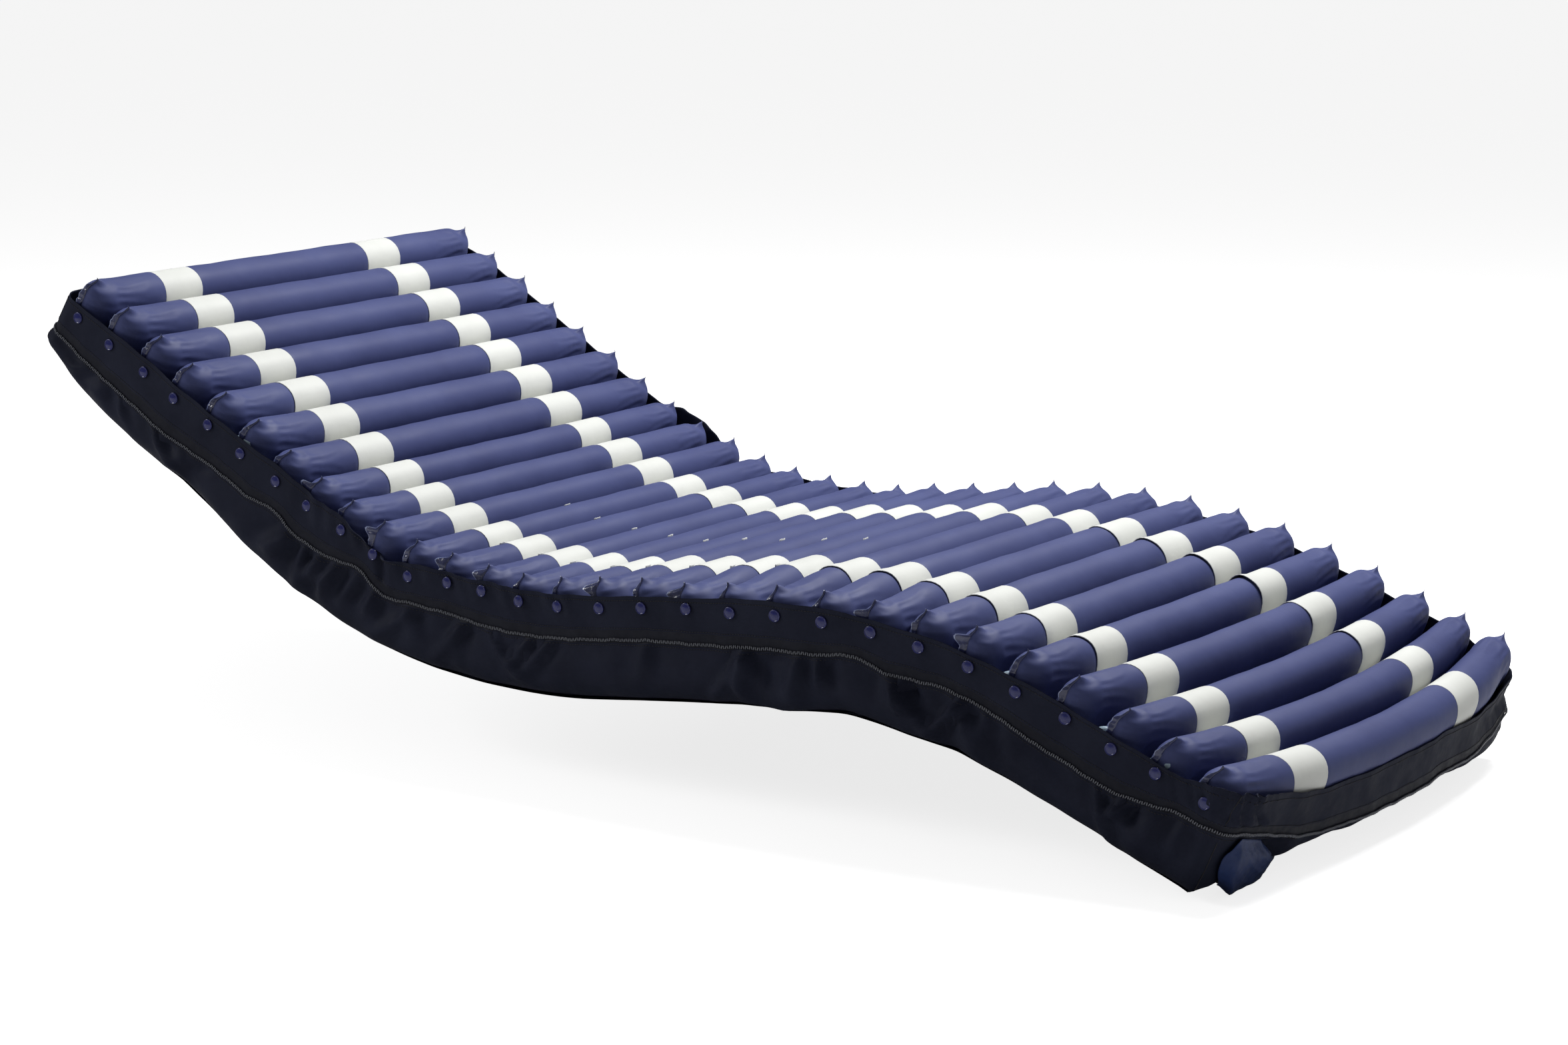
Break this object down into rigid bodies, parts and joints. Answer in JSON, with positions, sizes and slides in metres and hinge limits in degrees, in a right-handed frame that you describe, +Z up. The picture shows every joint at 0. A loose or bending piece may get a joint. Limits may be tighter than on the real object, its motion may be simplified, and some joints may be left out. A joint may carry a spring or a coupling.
{
  "type": "pressure relief mattress",
  "caption": "Alternating air pressure relief mattress: transverse air cells strapped into a zipped fabric base that bends at the hips and knees.",
  "frame": {"origin": "middle of the flat underside of the seat stretch, on the centre plane", "axes": "+X from head to foot, +Y to the left of a patient lying on the back, +Z up, with the backrest raised and the knees bent as in the rest pose"},
  "size_m": [1.9581, 0.9034, 0.6571],
  "materials": {
    "cell_fabric": "navy coated nylon with a satin sheen",
    "strap_fabric": "off-white coated webbing",
    "base_fabric": "black polyurethane-coated stretch fabric",
    "zip_metal": "nickel-plated slider",
    "black_plastic": "moulded black plastic",
    "red_plastic": "moulded red plastic",
    "blue_tube": "pale blue translucent flexible plastic",
    "flap_fabric": "blue coated fabric"
  },
  "bodies": {
    "back": {"base_cover_back": "base_fabric", "strap_right_back": "strap_fabric", "strap_left_back": "strap_fabric", "air_cell_01": "cell_fabric", "air_cell_02": "cell_fabric", "air_cell_03": "cell_fabric", "air_cell_04": "cell_fabric", "air_cell_05": "cell_fabric", "air_cell_06": "cell_fabric", "air_cell_07": "cell_fabric", "air_cell_08": "cell_fabric", "cpr_valve_body": "black_plastic"},
    "hip_1": {"base_cover_hip_1": "base_fabric", "strap_right_hip_1": "strap_fabric", "strap_left_hip_1": "strap_fabric", "air_cell_09": "cell_fabric", "air_cell_10": "cell_fabric", "air_cell_11": "cell_fabric"},
    "hip_2": {"base_cover_hip_2": "base_fabric", "strap_right_hip_2": "strap_fabric", "strap_left_hip_2": "strap_fabric", "air_cell_12": "cell_fabric", "air_cell_13": "cell_fabric", "air_cell_14": "cell_fabric"},
    "seat": {"base_cover_seat": "base_fabric", "strap_right_seat": "strap_fabric", "strap_left_seat": "strap_fabric", "air_cell_15": "cell_fabric", "air_cell_16": "cell_fabric", "air_cell_17": "cell_fabric", "air_cell_18": "cell_fabric", "air_cell_19": "cell_fabric", "air_cell_20": "cell_fabric"},
    "knee_1": {"base_cover_knee_1": "base_fabric", "strap_right_knee_1": "strap_fabric", "strap_left_knee_1": "strap_fabric", "air_cell_21": "cell_fabric", "air_cell_22": "cell_fabric", "air_cell_23": "cell_fabric"},
    "knee_2": {"base_cover_knee_2": "base_fabric", "strap_right_knee_2": "strap_fabric", "strap_left_knee_2": "strap_fabric", "air_cell_24": "cell_fabric", "air_cell_25": "cell_fabric", "air_cell_26": "cell_fabric"},
    "leg": {"base_cover_leg": "base_fabric", "strap_right_leg": "strap_fabric", "strap_left_leg": "strap_fabric", "air_cell_27": "cell_fabric", "air_cell_28": "cell_fabric", "air_cell_29": "cell_fabric", "hose_connector": "black_plastic", "feed_line_a": "blue_tube", "feed_line_b": "blue_tube"},
    "zip_slider": {"zip_slider": "zip_metal"},
    "zip_pull": {"zip_pull": "zip_metal"},
    "cpr_plug": {"cpr_plug": "red_plastic"},
    "connector_button": {"connector_button": "blue_tube"},
    "hose_flap": {"hose_flap": "flap_fabric"}
  },
  "joints": [
    {"name": "backrest_bend", "type": "hinge", "parent": "seat", "child": "hip_2", "pos_m": [-0.19794, 0, 0.06048], "axis": [0, 1, 0], "range_deg": [-12.5, 8.9]},
    {"name": "backrest_bend_mid", "type": "hinge", "parent": "hip_2", "child": "hip_1", "pos_m": [-0.40358, 0, 0.07901], "axis": [0, 1, 0], "range_deg": [-12.5, 8.9]},
    {"name": "backrest_bend_upper", "type": "hinge", "parent": "hip_1", "child": "back", "pos_m": [-0.59851, 0, 0.14709], "axis": [0, 1, 0], "range_deg": [-12.5, 8.9]},
    {"name": "knee_bend", "type": "hinge", "parent": "seat", "child": "knee_1", "pos_m": [0.21401, 0, 0.09974], "axis": [0, 1, 0], "range_deg": [-10.8, 4.1]},
    {"name": "knee_bend_mid", "type": "hinge", "parent": "knee_1", "child": "knee_2", "pos_m": [0.41962, 0, 0.07949], "axis": [0, 1, 0], "range_deg": [-10.8, 4.1]},
    {"name": "knee_bend_lower", "type": "hinge", "parent": "knee_2", "child": "leg", "pos_m": [0.61628, 0, 0.01616], "axis": [0, 1, 0], "range_deg": [-10.8, 4.1]},
    {"name": "zip_slide", "type": "slide", "parent": "back", "child": "zip_slider", "axis": [0.8572, 0, -0.515], "range_m": [0, 0.4]},
    {"name": "zip_pull_flip", "type": "hinge", "parent": "zip_slider", "child": "zip_pull", "pos_m": [-1.03758, 0.4421, 0.4006], "axis": [0.515, 0, 0.8572], "range_deg": [0, 160]},
    {"name": "cpr_plug_pull", "type": "slide", "parent": "back", "child": "cpr_plug", "axis": [0, 1, 0], "range_m": [0, 0.02]},
    {"name": "connector_button_press", "type": "slide", "parent": "leg", "child": "connector_button", "axis": [-0.8988, 0, 0.4384], "range_m": [0, 0.0025], "stiffness_N_per_m": 300},
    {"name": "hose_flap_lift", "type": "hinge", "parent": "leg", "child": "hose_flap", "pos_m": [0.80904, -0.345, -0.09275], "axis": [0, -1, 0], "range_deg": [0, 80]}
  ],
  "couplings": [
    {"joint": "backrest_bend_mid", "follows": "backrest_bend", "ratio": 1},
    {"joint": "backrest_bend_upper", "follows": "backrest_bend", "ratio": 1},
    {"joint": "knee_bend_mid", "follows": "knee_bend", "ratio": 1},
    {"joint": "knee_bend_lower", "follows": "knee_bend", "ratio": 1}
  ]
}
